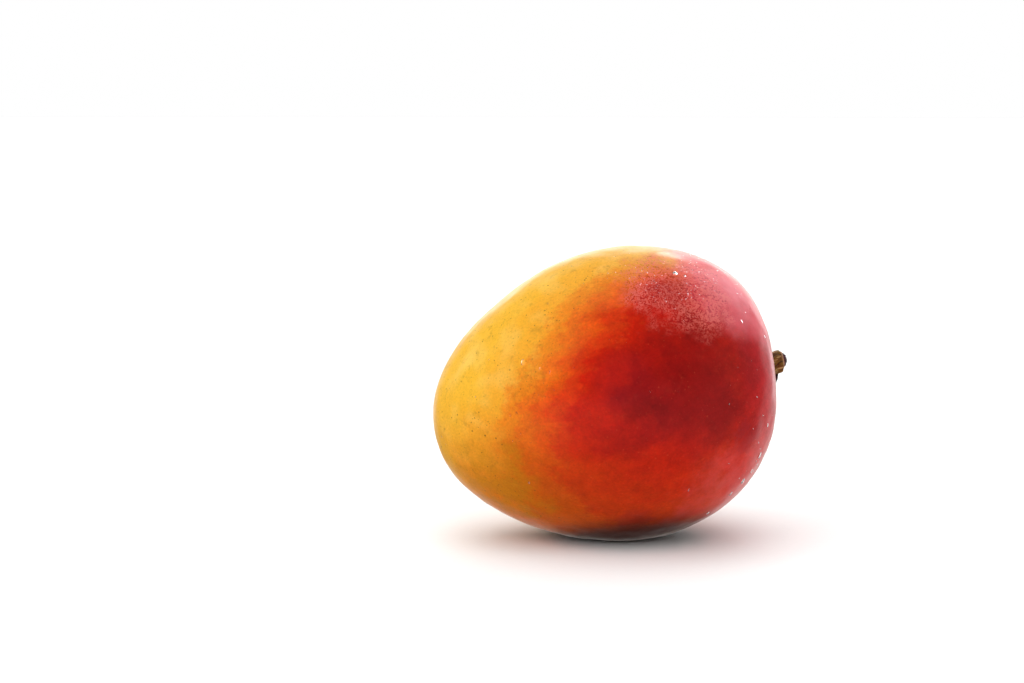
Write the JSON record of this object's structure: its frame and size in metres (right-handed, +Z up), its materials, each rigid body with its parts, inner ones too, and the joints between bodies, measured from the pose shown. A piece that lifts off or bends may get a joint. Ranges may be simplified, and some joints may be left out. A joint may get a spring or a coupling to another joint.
{
  "type": "mango",
  "caption": "Whole ripe mango, egg-shaped with a yellow tip and a crimson shoulder, a short ribbed stem stub in its dimple, lying on a small flat spot.",
  "frame": {"origin": "on the resting surface, below the middle of the whole part's box", "axes": "+X along the length, towards the stem end, +Z up, -Z out of the flat spot"},
  "size_m": [0.1172, 0.095, 0.0967],
  "materials": {
    "mango_skin": "waxy fruit skin, yellow to orange to crimson, satin gloss",
    "stem_bark": "dry brown stalk with a dark scar on its end"
  },
  "bodies": {
    "root": {"fruit": "mango_skin", "stem": "stem_bark"}
  },
  "joints": []
}
